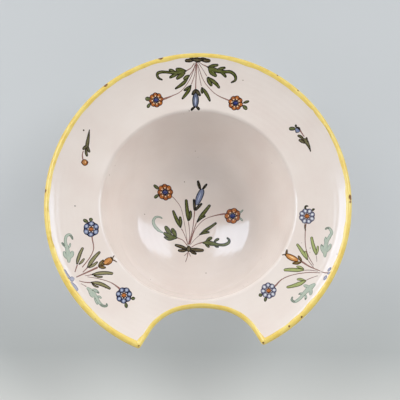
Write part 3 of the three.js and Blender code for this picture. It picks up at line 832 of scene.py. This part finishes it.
# The spray in the well stands upright from its tied stems: a blue bud and two orange flowers.
WELL = {
    "stem": [
        [(-5.2, -16.4, 0.45), (-9.7, -11, 0.38), (-15.4, -8.5, 0.6)],
        [(-5, -15.3, 0.38), (-7.5, -7.2, 0.3), (-11, 0.4, 0.45)],
        [(-4.5, -15.3, 0.45), (-3.4, -5, 0.3), (-4.5, 7.1, 0.38)],
        [(-4, -15.3, 0.52), (-0.5, 1.4, 0.38), (1.2, 17.6, 0.52)],
        [(-3.6, -15.2, 0.45), (-0.5, -3.9, 0.38), (2.9, 6.5, 0.45)],
        [(-3.1, -15.8, 0.22), (1, -10.3, 0.22), (5.8, -5.8, 0.3)],
        [(-2.8, -18.2, 0.38), (2.5, -14.9, 0.38), (8.6, -12.8, 0.75)],
        [(-3.1, -14.7, 0.3), (1.5, -0.7, 0.3), (9.6, 8.6, 0.3), (18.8, 12.2, 0.45), (27.7, 13.5, 0.9),
         (29.8, 12.9, 0.9)],
        [(-5.1, -15.3, 0.22), (-8.5, 6.6, 0.22), (-11.4, 18.9, 0.22), (-15.1, 24.9, 0.3),
         (-19.1, 28.9, 0.38), (-21, 30, 0.38)],
        [(-4.7, -21.8, 0.52), (-5.7, -27.4, 0.38), (-7.4, -32.6, 0.3)],
        [(-5.2, -22.9, 0.3), (-8.8, -26.6, 0.22)],
        [(-4.2, -22.9, 0.3), (-2.5, -27, 0.22)],
    ],
    "dark leaf": [
        [(-5.5, -19.3, 0.8), (-10.8, -17.5, 1.93), (-17.3, -15.6, 1.29)],
        [(-5.7, -20.6, 0.8), (-9.8, -21.2, 1.77), (-14.5, -21.1, 1.13)],
        [(-3.6, -19.1, 0.8), (2.7, -20.3, 2.25), (9.8, -20.8, 1.45)],
        [(-3.4, -21, 0.8), (-0.4, -22.8, 1.61), (3.1, -24.5, 1.13)],
        [(-4.4, -15.8, 0.97), (-4.3, -19.3, 2.42), (-4.5, -22.6, 0.97)],
    ],
    "deep leaf": [
        [(-14.2, -8.7, 0.51), (-19, -8.5, 2.43), (-23.6, -6.8, 2.3), (-27.7, -4.3, 1.28)],
        [(-15.7, -8.3, 0.77), (-17.7, -3.8, 2.3), (-20, 0.5, 1.41)],
        [(-20, -6.8, 0.77), (-23.1, -2.5, 2.43), (-26.2, 2.2, 1.54)],
        [(-17.4, -9.9, 0.64), (-22.5, -10.4, 1.66), (-27.4, -8.3, 0.77)],
        [(7.8, -13.3, 0.51), (12.7, -13.4, 2.43), (18.2, -14.5, 2.3), (23.2, -15.7, 1.54),
         (28, -15.9, 1.66), (31.8, -14.3, 1.66), (32.5, -11.5, 1.28), (30.4, -8.8, 0.77)],
        [(11.1, -12.3, 0.64), (14.5, -9.6, 1.92), (17.4, -8.2, 1.15)],
        [(18.2, -13.6, 0.64), (21, -10.9, 1.54), (23.8, -9.7, 1.02)],
        [(10.6, -14.5, 0.64), (12.8, -16.3, 1.41), (14.8, -18.1, 0.9)],
        [(18.7, -15.8, 0.64), (21.2, -17.4, 1.15), (23.5, -18, 0.64)],
        [(-11.4, 0.6, 0.64), (-13.9, 5.6, 1.79), (-16.5, 11, 1.79), (-19.1, 17.4, 1.15)],
        [(-4.6, 7.1, 0.64), (-5.3, 13.4, 1.92), (-6.2, 20.6, 1.79), (-6.9, 27.8, 1.41)],
        [(3, 6.1, 0.64), (7.1, 11.9, 1.92), (11.4, 17.5, 1.79), (15.5, 22.7, 1.28)],
        [(5.4, -6, 0.51), (10.2, -2, 1.66), (15.8, 1.8, 1.54), (21.4, 5.8, 1.15)],
    ],
    "deep lobe": [
        [(-11.6, 1.2, 0.57), (-11.8, 6.5, 1.72), (-12.4, 11.9, 1.14)],
        [(-4, 7.7, 0.57), (-2.8, 12.4, 1.57), (-2.6, 17.6, 1)],
        [(3.1, 6.1, 0.57), (6.6, 10.1, 1.29), (11.3, 12.5, 0.86)],
        [(5.2, -5.6, 0.57), (9.7, -3.7, 1.43), (15.1, -3.1, 1)],
    ],
    # Pale leaf: thin green paint and a painted sheen in its colour.
    "pale leaf with painted sheen": [
        [(-27.7, -4.7, 0.57), (-32.3, -2.2, 1.49), (-36, 1.9, 1.61), (-37, 6, 1.38), (-35, 9.5, 1.15),
         (-31.4, 10.1, 0.92), (-28.5, 8.8, 0.69)],
        [(41.7, 13.1, 0.46), (43.7, 14.6, 0.92), (45.3, 16.2, 0.57)],
        [(41.9, 9.1, 0.46), (43.5, 7.4, 0.92), (44.9, 5.5, 0.57)],
    ],
    "blue bud": [
        [(2.6, 22.2, 1.85), (4.6, 27.8, 3.2), (6.6, 32.7, 3.2), (8.3, 37.1, 2.22)],
    ],
    "blue glint": [
        [(3.4, 24.7, 0.3), (5.2, 29.4, 0.9), (6.9, 34.2, 0.4)],
    ],
    "calyx": [
        [(1.1, 17.1, 0.96), (0.9, 22.2, 1.44), (0.1, 28.2, 0.96)],
        [(1.4, 17.3, 0.96), (4.7, 21, 1.56), (8.1, 24.2, 0.84)],
        [(6.3, 36.2, 0.84), (4.8, 40.1, 1.56), (3.5, 44.5, 0.96)],
        [(7.8, 36.3, 0.72), (10.1, 38.8, 1.32), (12.3, 41.5, 0.84)],
    ],
    "small leaf": [
        [(-31.8, 35.3, 0.62), (-34.4, 36.6, 1.62), (-37.5, 38.3, 1.12)],
        [(-31.9, 30.5, 0.62), (-34.3, 28.9, 1.62), (-36.6, 26.9, 1.12)],
    ],
}
painted("spray_well", WELL, [
    (-26.4, 33.0, 7.7, "orange", 8, 0.1),
    (35.8, 11.2, 7.7, "orange", 7, 0.4),
])

# The spray left of the notch: an orange bud and two blue flowers, its side leaves pale, thin paint with a
# painted sheen.
LEFT = {
    "stem": [
        [(-92.6, -29.5, 0.6), (-92.1, -32.8, 0.6), (-90.8, -41.1, 0.45), (-93.9, -48.9, 0.45),
         (-100.2, -57.6, 0.45)],
        [(-86.4, -57.1, 0.9), (-94.6, -61.1, 0.75), (-105, -66.1, 0.45)],
        [(-67.1, -76.7, 0.75), (-68.3, -75, 0.75), (-75.3, -70.3, 0.38), (-84.9, -67.3, 0.3),
         (-95.6, -65.4, 0.22)],
        [(-106.1, -61.9, 0.45), (-105, -57.8, 0.52), (-104.1, -54.9, 0.6)],
        [(-99.5, -61.8, 0.45), (-97.3, -59.5, 0.45), (-95.2, -57.2, 0.6)],
        [(-97.5, -64.7, 0.22), (-94.5, -64.2, 0.3), (-90.9, -63.5, 0.52)],
        [(-102.3, -69.1, 0.3), (-97.6, -70.2, 0.38), (-92.2, -70.6, 0.52)],
        [(-100.8, -71.3, 0.22), (-98.1, -72.7, 0.22), (-95.5, -74.1, 0.38)],
    ],
    "leaf": [
        [(-104.7, -55.1, 0.57), (-103.9, -51, 1.61), (-102.2, -45.2, 1.61), (-99.8, -39.7, 1.15)],
        [(-95.7, -57.9, 0.57), (-93, -53.3, 1.84), (-89.2, -47.9, 1.72), (-84.9, -43.3, 1.15)],
        [(-91.9, -63.7, 0.57), (-86, -62.5, 1.72), (-79.4, -62.1, 1.72), (-73.1, -62.7, 1.26)],
        [(-92.6, -70.4, 0.57), (-86.7, -70.9, 1.72), (-80.9, -72.8, 1.72), (-74.9, -76.1, 1.03)],
    ],
    "leaf lobe": [
        [(-103.2, -55.1, 0.57), (-100.5, -52.4, 1.26), (-98.3, -49.4, 0.8)],
        [(-94.8, -57.7, 0.57), (-90.6, -55.4, 1.38), (-86.7, -52.2, 0.8)],
        [(-90.2, -64.4, 0.46), (-86.1, -65.4, 1.03), (-81.9, -65.5, 0.69)],
        [(-91.4, -71.3, 0.46), (-88.3, -73.4, 1.03), (-85, -74.4, 0.69)],
    ],
    # The pale leaves carry a painted sheen: the glaze's highlight is in their colour, over thin green
    # paint.
    "pale leaf with painted sheen": [
        [(-111.4, -53.7, 1.15), (-112, -47.8, 2.3), (-113.6, -41.1, 1.72), (-115.2, -35.3, 1.38),
         (-114.6, -30.6, 1.38), (-111.5, -29.1, 1.26), (-108.8, -33.4, 0.69)],
        [(-113.2, -41.5, 0.57), (-116.2, -38.5, 1.15), (-118.4, -35.9, 0.8)],
        [(-111.1, -50.2, 0.8), (-109.4, -46.8, 1.95), (-108.8, -43, 1.15)],
        [(-113.2, -50.3, 0.69), (-115.2, -47, 1.49), (-116.2, -43.4, 0.92)],
        [(-112.6, -41.5, 0.57), (-111.4, -38.7, 1.03), (-110.9, -36.2, 0.57)],
        [(-95.5, -74.6, 0.92), (-91.1, -78.3, 2.07), (-87.1, -82.8, 1.49), (-84.3, -87.5, 1.38),
         (-81, -90.3, 1.26), (-77.8, -90.3, 1.03), (-78.2, -88, 0.57)],
        [(-91.6, -76.7, 0.69), (-88.1, -77.2, 1.49), (-84.8, -79.5, 0.92)],
        [(-94, -76.1, 0.8), (-91, -80.9, 1.72), (-88.8, -83, 0.92)],
        [(-87, -82.2, 0.57), (-84.5, -82.6, 1.03), (-82.4, -84.1, 0.69)],
        [(-88.8, -83.5, 0.57), (-86.8, -86.8, 1.03), (-85.3, -89.4, 0.69)],
    ],
    # The violet root leaves carry a painted sheen in their pale colour.
    "violet leaf with painted sheen": [
        [(-115.4, -59.5, 1.09), (-113.2, -63.8, 1.64), (-109.6, -67.4, 0.91)],
        [(-109.5, -70.3, 1.09), (-106.1, -74.2, 2), (-102.8, -77.8, 1.27)],
        [(-110.3, -68.1, 0.91), (-108.3, -67.7, 2.55), (-105.9, -67.3, 0.91)],
    ],
    "orange bud": [
        [(-81.9, -54.1, 1.94), (-79.2, -52.8, 3.14), (-76.6, -51.1, 3.14), (-74.4, -49.3, 1.94)],
    ],
    "pale tip": [
        [(-112.3, -29.4, 0.5), (-110, -30.5, 0.9), (-108.9, -33.4, 0.6)],
        [(-118.4, -35.7, 0.4), (-116.8, -37.6, 0.7), (-115.4, -39.5, 0.4)],
        [(-86.8, -78.2, 0.4), (-84.6, -79.7, 0.7)],
        [(-83.7, -88.6, 0.4), (-81, -90.3, 0.9), (-78, -90.3, 0.9), (-78.1, -88, 0.5)],
        [(-91.1, -77.1, 0.4), (-89, -77.6, 0.5)],
    ],
    "brown calyx": [
        [(-76.1, -48, 0.55), (-74.7, -49.7, 0.99), (-73.5, -51.7, 0.55)],
        [(-82.4, -55.7, 0.33), (-78.8, -54.3, 0.39), (-75.1, -51.1, 0.33)],
        [(-86.4, -56.9, 0.55), (-84.2, -53.6, 1.54), (-81.6, -50.5, 0.66)],
        [(-86.2, -56.9, 0.55), (-82.9, -57.2, 1.54), (-79.5, -57.6, 0.77)],
        [(-74.4, -49.5, 0.33), (-73.4, -48, 0.5), (-72.7, -46.5, 0.33)],
        [(-73.8, -50.7, 0.33), (-72, -51.7, 0.5), (-70.2, -52.9, 0.33)],
        [(-84.3, -55.7, 0.66), (-82.5, -54.5, 1.43), (-81, -53.6, 0.55)],
    ],
    "small leaf": [
        [(-95.8, -17.7, 0.62), (-98.4, -16.4, 1.75), (-100.7, -15, 1)],
        [(-94.5, -17.1, 0.75), (-93.8, -15, 2), (-93.2, -13.5, 1.5)],
        [(-57.7, -84.1, 0.62), (-55.6, -84.1, 1.62), (-53.7, -84.1, 1.12)],
        [(-62.2, -87.5, 0.62), (-61.3, -90, 1.62), (-60.7, -92.4, 0.88)],
    ],
}
painted("spray_left", LEFT, [
    (-93.4, -23.6, 7.4, "blue", 6, 0.5),
    (-63.5, -81.4, 7.4, "blue", 7, 0.2),
])

# The spray right of the notch mirrors it, painted a little looser.
RIGHT = {
    "stem": [
        [(95, -16.8, 0.45), (94.1, -24.1, 0.45), (94, -36.1, 0.38), (96.3, -46, 0.38), (101.1, -54.8, 0.3)],
        [(66.3, -73.4, 0.75), (67.7, -72.4, 0.75), (73.5, -66.7, 0.45), (83.2, -62.8, 0.38),
         (96.2, -60.8, 0.38), (106.8, -61.2, 0.3)],
        [(90.4, -51.1, 0.9), (97.3, -55.5, 0.6), (106.8, -59.7, 0.38)],
        [(96, -49.9, 0.3), (98.8, -53.8, 0.3), (101.1, -56.7, 0.22)],
        [(103.4, -45.8, 0.22), (103.7, -48.9, 0.22), (103.7, -51.9, 0.15)],
        [(92.4, -58.8, 0.3), (98.2, -58.8, 0.3), (104.9, -59.8, 0.22)],
        [(94.2, -67.5, 0.3), (99.1, -65.4, 0.3), (104.8, -63.5, 0.22)],
        [(106.8, -60.1, 0.22), (110.6, -61.2, 0.45), (113.5, -61.2, 0.45)],
    ],
    "fresh leaf": [
        [(96, -50.1, 0.6), (92.6, -44.8, 1.68), (89.3, -39.6, 1.56), (86.4, -35.5, 1.08)],
        [(103.4, -45.8, 0.6), (101.9, -40.6, 1.68), (100.3, -34.7, 1.56), (99.4, -29.1, 1.2)],
        [(92.8, -58.6, 0.72), (87.1, -58.7, 1.8), (80.8, -58.5, 1.8), (74.6, -58.8, 1.2)],
        [(94.4, -67.5, 0.72), (88.9, -70.4, 1.92), (83.1, -72.4, 1.68), (77, -73.9, 1.08)],
    ],
    "fresh lobe": [
        [(95.8, -49.9, 0.48), (94.7, -45.5, 1.2), (93.6, -41.6, 0.84)],
        [(103.4, -45.6, 0.48), (104.4, -41.6, 1.2), (104.9, -37.2, 0.84)],
        [(92.6, -57.8, 0.48), (89.4, -56.3, 1.2), (85.7, -55.5, 0.84)],
        [(93.3, -67.5, 0.48), (89.6, -66.8, 1.32), (86, -66.8, 0.84)],
    ],
    # The pale leaves carry a painted sheen: the glaze's highlight is in their colour, over thin green
    # paint.
    "pale leaf with painted sheen": [
        [(110.7, -47.9, 0.92), (111.2, -41.2, 2.3), (112.6, -33.9, 1.72), (115.2, -29.5, 1.49),
         (117, -25.9, 1.38), (114.6, -21.8, 1.15), (111.1, -23.1, 0.69)],
        [(110, -44.6, 0.69), (108.7, -40.2, 1.72), (108, -36.1, 1.03)],
        [(112.4, -43.2, 0.69), (114.7, -39.3, 1.61), (116.1, -35.7, 0.92)],
        [(111.3, -35.8, 0.57), (111.3, -32.4, 1.03), (112, -29.4, 0.57)],
        [(102.3, -70.4, 1.03), (97.5, -74.1, 2.42), (93.1, -78.1, 1.84), (89.2, -82.7, 1.49),
         (84.6, -85.9, 1.26), (81.5, -84.6, 1.03), (82.5, -81.6, 0.57)],
        [(97.5, -73.3, 0.69), (94.3, -72.6, 1.49), (91.7, -72.1, 0.92)],
        [(98.4, -74.1, 0.8), (98.1, -77.7, 1.72), (97.3, -80.6, 0.92)],
        [(91.7, -78.8, 0.57), (89.7, -79, 1.03), (87.7, -79.6, 0.69)],
        [(93.3, -79.6, 0.57), (93.8, -82.2, 1.15), (93, -84.4, 0.69)],
    ],
    # The violet root leaves carry a painted sheen in their pale colour.
    "violet leaf with painted sheen": [
        [(113, -60.2, 0.56), (114.3, -58.3, 1.12), (116, -56.5, 0.56)],
        [(109.3, -67.6, 0.56), (110.7, -65.5, 1.26), (112, -63.4, 0.56)],
        [(112.5, -62.5, 0.42), (113.8, -61.7, 0.98), (115.8, -60.6, 0.42)],
    ],
    "orange bud": [
        [(87.9, -50.4, 1.62), (83.8, -48.8, 2.7), (80.1, -47.1, 2.7), (76.7, -45, 1.73)],
    ],
    "orange glint": [
        [(85.6, -49.1, 0.3), (82.4, -47.8, 0.9), (79, -46.1, 0.4)],
    ],
    "pale tip": [
        [(111.3, -22.9, 0.5), (113.3, -21.6, 0.8), (115.4, -22.5, 0.5)],
        [(82.3, -81.6, 0.6), (81.7, -83.8, 0.9), (82.9, -85.7, 0.9), (85, -85.9, 0.5)],
        [(87.3, -79.8, 0.4), (89.3, -79, 0.7)],
        [(108, -35.9, 0.4), (108.7, -38.2, 0.6)],
        [(93, -84.6, 0.4), (93.8, -82.7, 0.6)],
    ],
    "brown calyx": [
        [(77.3, -44, 0.44), (76.5, -45.2, 0.77), (76.3, -46.7, 0.44)],
        [(90.6, -51.4, 0.55), (89.2, -48.9, 1.43), (87.5, -45.8, 0.66)],
        [(90.6, -51.6, 0.55), (86.7, -52.6, 1.54), (82.2, -52.9, 0.77)],
        [(77.2, -45.2, 0.66), (77.5, -43.2, 1.1), (77.9, -40.5, 0.66)],
        [(75.9, -45, 0.33), (74.7, -45.4, 0.55), (73.4, -45.7, 0.44)],
        [(93.9, -17.8, 0.55), (93.9, -20.8, 0.77), (94.3, -24.5, 0.44)],
    ],
    "small leaf": [
        [(95.3, -5.6, 0.62), (94.3, -3.4, 1), (95.3, -1.8, 0.88), (97.3, -2.2, 0.5)],
        [(99.8, -6.2, 0.5), (101.3, -5.1, 1.12), (102.7, -4.3, 0.75)],
        [(56.1, -79.7, 0.75), (54.6, -80.7, 1.75), (52.8, -81.2, 1.25)],
        [(59.4, -82.2, 0.75), (58.9, -84.1, 1.5), (58.2, -86.4, 0.88)],
    ],
}
painted("spray_right", RIGHT, [
    (95.8, -10.9, 7.5, "pale", 8, 0.3),
    (61.6, -76.8, 7.3, "pale", 8, 0.1),
])

# Two small sprigs fill the flange between the sprays, a bud and a three-lobed leaf each.
SPRIG_LEFT = {
    "sprig leaf": [
        [(-97.3, 65.4, 0.33), (-97.9, 60, 1.17), (-98.8, 53, 1.82), (-99.3, 48.8, 1.56)],
        [(-99.1, 51.8, 0.65), (-101.2, 48.9, 1.56), (-102.9, 47, 0.91)],
        [(-99.4, 49.2, 0.78), (-99.7, 45.1, 1.43), (-98.6, 41.1, 1.04)],
        [(-98.7, 51.5, 0.65), (-97.9, 47.9, 1.43), (-96.5, 44.8, 0.91)],
    ],
    "stem": [
        [(-102.1, 46.3, 0.38), (-103, 42.4, 0.52), (-102.1, 37.2, 0.6)],
    ],
    "small bud": [
        [(-100.9, 39, 1.62), (-100.8, 37.1, 3.24), (-100.6, 34.8, 3.24), (-100.7, 32.7, 1.62)],
    ],
    "orange glint": [
        [(-100.2, 37.5, 0.3), (-100.1, 36.2, 0.7), (-100.3, 34.8, 0.4)],
    ],
}
painted("sprig_left", SPRIG_LEFT)

SPRIG_RIGHT = {
    "sprig leaf": [
        [(99.9, 46.4, 0.33), (98.1, 51.7, 1.3), (95.6, 56.3, 2.08), (93, 58.8, 1.04)],
        [(94.9, 55.7, 0.65), (91.5, 60.1, 1.43), (88, 62, 1.04)],
        [(95.2, 54.4, 0.65), (92.1, 56.4, 1.56), (89, 58.2, 0.91)],
        [(97.1, 54.9, 0.52), (96.3, 57.8, 1.04), (96, 60.1, 0.65)],
    ],
    "stem": [
        [(90, 66.7, 0.9), (92, 63.6, 0.52), (94.3, 60.1, 0.45)],
    ],
    "calyx": [
        [(86.5, 68.7, 0.6), (88.8, 68.3, 1.08), (90.7, 65.8, 0.72)],
    ],
    "small leaf": [
        [(86.6, 67.7, 1.25), (83.6, 68, 1.88), (80.4, 68.1, 1.5)],
        [(87.2, 68.9, 0.62), (86.7, 70.2, 1.12), (86.6, 71.7, 0.62)],
    ],
    "blue bud": [
        [(86, 67.8, 1.58), (87.5, 67.1, 2.9), (89.2, 65.9, 2.9), (90.4, 65, 1.32)],
    ],
}
painted("sprig_right", SPRIG_RIGHT)

# Three dark kiln specks lie on the glaze.
painted("kiln_specks", {"speck": [
    [(-103.3, 64.0, 0.8), (-102.5, 64.0, 0.8), (-101.7, 64.0, 0.8)],
    [(-108.6, -3.3, 0.55), (-108.0, -3.3, 0.55), (-107.5, -3.3, 0.55)],
    [(12.8, -79.3, 0.5), (13.3, -79.3, 0.5), (13.8, -79.3, 0.5)],
]})

# The floor is a pale matt sheet under the foot, cool grey. Across it towards the notch a darker band is
# painted, as shade where the bowl's shadow falls, and the sheet is lighter again at the near edge. Seen by
# camera, gloss and glass, nearly half of it is its own even colour, so that the shadow of the bowl stays
# soft. The world gives even fill light, and shows itself to camera, gloss and glass as the same pale grey.
SHEET_WITH_PAINTED_SHADE = ["#D3D8DC", "#C4C9CA", "#E1E3E1"]


def seen_rays(tree):
    """1 for the rays of camera, gloss and glass, 0 for the light that falls on things."""
    ray = node(tree, "LightPath")
    camera, gloss, glass = [ray.outputs[f"Is {kind} Ray"] for kind in ("Camera", "Glossy", "Transmission")]
    either = node(tree, "Math", {0: camera, 1: gloss}, operation="MAXIMUM")
    return node(tree, "Math", {0: either, 1: glass}, operation="MAXIMUM")


floor_mesh = bpy.data.meshes.new("floor")
reach = 3.0
corners = [(-reach, -reach, 0), (reach, -reach, 0), (reach, reach, 0), (-reach, reach, 0)]
floor_mesh.from_pydata(corners, [], [(0, 1, 2, 3)])
floor = bpy.data.objects.new("floor", floor_mesh)
bpy.context.scene.collection.objects.link(floor)
matt, tree, shader = material("matt paper sheet, painted shade")
place = node(tree, "TexCoord").outputs["Object"]
far = node(tree, "SeparateXYZ", {0: place}).outputs["Y"]
toward = node(tree, "MapRange", {"Value": far}, in_1=0.19, in_2=-0.19)
# From far to near: pale grey, then at 0.82 a darker grey painted as the bowl's shadow by the notch, then
# lighter.
tones_with_painted_shade = [(0.0, SHEET_WITH_PAINTED_SHADE[0]), (1.0, SHEET_WITH_PAINTED_SHADE[2]), (0.58, SHEET_WITH_PAINTED_SHADE[0]), (0.82, SHEET_WITH_PAINTED_SHADE[1])]
shade = node(tree, "ValToRGB", {0: toward}, tones_with_painted_shade)
feed(tree, shader, {"Base Color": shade})
shader.inputs["Roughness"].default_value = 0.9
shader.inputs["Specular IOR Level"].default_value = 0.1
share = node(tree, "Math", {0: seen_rays(tree)}, operation="MULTIPLY", in_1=0.45)
own = node(tree, "Emission", {"Color": shade}, in_Strength=0.85)
sheet = node(tree, "MixShader", {0: share, 1: shader, 2: own})
feed(tree, tree.nodes["Material Output"], {"Surface": sheet})
floor_mesh.materials.append(matt)

world = bpy.data.worlds.new("studio")
bpy.context.scene.world = world
world.use_nodes = True
tree = world.node_tree
tree.nodes.clear()
fill_light = node(tree, "Background", in_Color=linear("#FFFFFF"), in_Strength=0.05)
shown = node(tree, "Background", in_Color=linear("#C8CDD1"), in_Strength=1.0)
mixed = node(tree, "MixShader", {0: seen_rays(tree), 1: fill_light, 2: shown})
node(tree, "OutputWorld", {0: mixed})
LAMP_AIM = Vector((0, 0, 0.05))


def softbox(name, place, size, watts, colour="#FFFEFC", gloss=False):
    """A rectangular softbox. It faces the bowl and lights its colours, or with gloss it hangs level
    and is only mirrored in the glaze."""
    lamp = bpy.data.lights.new(name, "AREA")
    lamp.shape = "RECTANGLE"
    lamp.size, lamp.size_y = size
    lamp.energy = watts
    lamp.color = linear(colour)[:3]
    made = bpy.data.objects.new(name, lamp)
    made.location = place
    if not gloss:
        made.rotation_euler = (Vector(place) - LAMP_AIM).to_track_quat("Z", "Y").to_euler()
    made.visible_glossy = gloss
    made.visible_diffuse = not gloss
    bpy.context.scene.collection.objects.link(made)


softbox("key_left", (-2.00, 1.15, 2.45), (2.1, 1.1), 21.0)
softbox("key_right", (2.15, 1.25, 2.45), (2.1, 1.1), 57.5)
softbox("key_top", (0.0, 2.90, 1.90), (3.0, 1.2), 22.5)
softbox("back_left", (-2.38, 2.25, 1.25), (1.5, 1.5), 29.5)
softbox("back_right", (2.40, 1.70, 1.00), (1.5, 0.9), 6.0)
softbox("side_left", (-1.00, 0.0, 0.42), (0.5, 0.5), 3.5)
softbox("side_right", (1.00, 0.0, 0.42), (0.5, 0.5), 1.7)
softbox("low_fill", (0.0, -0.40, 0.40), (0.4, 0.4), 0.75)
softbox("glint_left", (-0.71, 0.495, 1.08), (0.98, 0.42), 10.0, "#D2E3F8", True)
softbox("glint_right", (0.87, 0.513, 1.08), (1.16, 0.44), 10.0, "#D2E3F8", True)
bpy.context.scene.view_settings.view_transform = "Standard"
